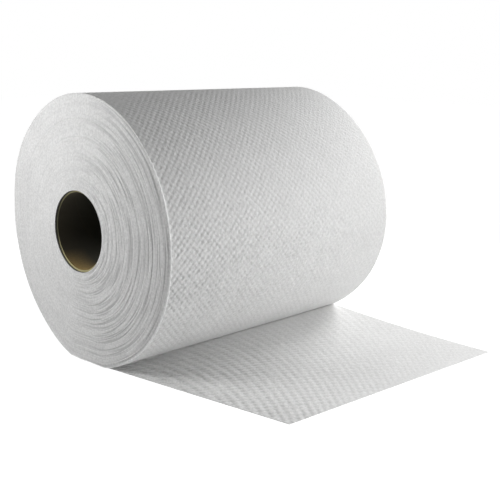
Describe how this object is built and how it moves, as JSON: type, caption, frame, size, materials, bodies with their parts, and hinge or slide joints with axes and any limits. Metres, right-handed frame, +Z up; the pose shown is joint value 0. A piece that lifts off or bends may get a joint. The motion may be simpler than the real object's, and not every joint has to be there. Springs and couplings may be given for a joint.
{
  "type": "paper towel roll",
  "caption": "Wide roll of white embossed paper towel on a cardboard core, lying on its side with the loose end of the sheet drawn out in front.",
  "frame": {"origin": "on the core's axis, half way along the core", "axes": "+X along the core, from the bulging end toward the dished end; -Y toward the loose end of the sheet; +Z up"},
  "size_m": [0.225, 0.2592, 0.1769],
  "materials": {
    "paper_web": "white embossed tissue",
    "core": "plain kraft board"
  },
  "bodies": {
    "root": {"paper_web": "paper_web", "core": "core"}
  },
  "joints": []
}
